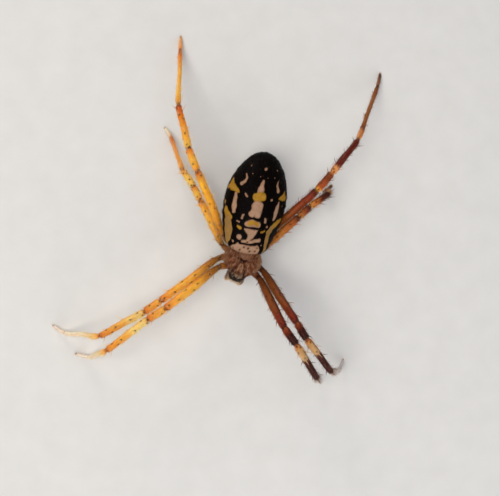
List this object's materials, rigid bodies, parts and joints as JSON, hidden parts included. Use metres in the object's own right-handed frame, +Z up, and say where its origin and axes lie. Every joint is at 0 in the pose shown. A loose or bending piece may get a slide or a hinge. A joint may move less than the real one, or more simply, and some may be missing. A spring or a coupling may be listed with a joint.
{
  "type": "orb weaver spider",
  "caption": "Life-size still model of a female orb weaver spider standing with its legs paired in an X, an oval black abdomen with yellow and white spots, and a brown, downy head.",
  "frame": {"origin": "on the floor, under the middle of the box round the whole stance", "axes": "+Z up; -Y ahead, the way the head points; +X to the spider's own left"},
  "size_m": [0.0378, 0.044, 0.012],
  "materials": {
    "abdomen": "satin black-brown with cream-pink and ochre spots under sparse short hairs",
    "carapace": "warm brown under thin, paler down, with three pale tufts behind the eyes",
    "leg_amber": "waxy amber cuticle with dark spine sockets, pale feet and whitish fringes",
    "leg_brown": "waxy orange-brown cuticle with dark maroon bands and pale fringes",
    "underside": "dark brown with a pale middle stripe",
    "jaw": "warm brown, haired in front",
    "palp": "pale straw with fine hairs",
    "eye": "glossy black-brown lens"
  },
  "bodies": {
    "root": {"abdomen": "abdomen", "pedicel": "underside", "spinnerets": "underside", "carapace": "carapace", "sternum": "underside", "mouthparts": "underside", "chelicera_right": "jaw", "palp_right": "palp", "eye_front_middle_right": "eye", "eye_rear_middle_right": "eye", "eye_front_side_right": "eye", "eye_rear_side_right": "eye", "chelicera_left": "jaw", "palp_left": "palp", "eye_front_middle_left": "eye", "eye_rear_middle_left": "eye", "eye_front_side_left": "eye", "eye_rear_side_left": "eye", "leg_1_right_coxa": "leg_amber", "leg_1_right_femur": "leg_amber", "leg_1_right_patella": "leg_amber", "leg_1_right_tibia": "leg_amber", "leg_1_right_foot": "leg_amber", "leg_1_left_coxa": "leg_brown", "leg_1_left_femur": "leg_brown", "leg_1_left_patella": "leg_brown", "leg_1_left_tibia": "leg_brown", "leg_1_left_foot": "leg_brown", "leg_2_right_coxa": "leg_amber", "leg_2_right_femur": "leg_amber", "leg_2_right_patella": "leg_amber", "leg_2_right_tibia": "leg_amber", "leg_2_right_foot": "leg_amber", "leg_2_left_coxa": "leg_brown", "leg_2_left_femur": "leg_brown", "leg_2_left_patella": "leg_brown", "leg_2_left_tibia": "leg_brown", "leg_2_left_foot": "leg_brown", "leg_3_right_coxa": "leg_amber", "leg_3_right_femur": "leg_amber", "leg_3_right_patella": "leg_amber", "leg_3_right_tibia": "leg_amber", "leg_3_right_foot": "leg_amber", "leg_3_left_coxa": "leg_brown", "leg_3_left_femur": "leg_brown", "leg_3_left_patella": "leg_brown", "leg_3_left_tibia": "leg_brown", "leg_3_left_foot": "leg_brown", "leg_4_right_coxa": "leg_amber", "leg_4_right_femur": "leg_amber", "leg_4_right_patella": "leg_amber", "leg_4_right_tibia": "leg_amber", "leg_4_right_foot": "leg_amber", "leg_4_left_coxa": "leg_brown", "leg_4_left_femur": "leg_brown", "leg_4_left_patella": "leg_brown", "leg_4_left_tibia": "leg_brown", "leg_4_left_foot": "leg_brown"}
  },
  "joints": []
}
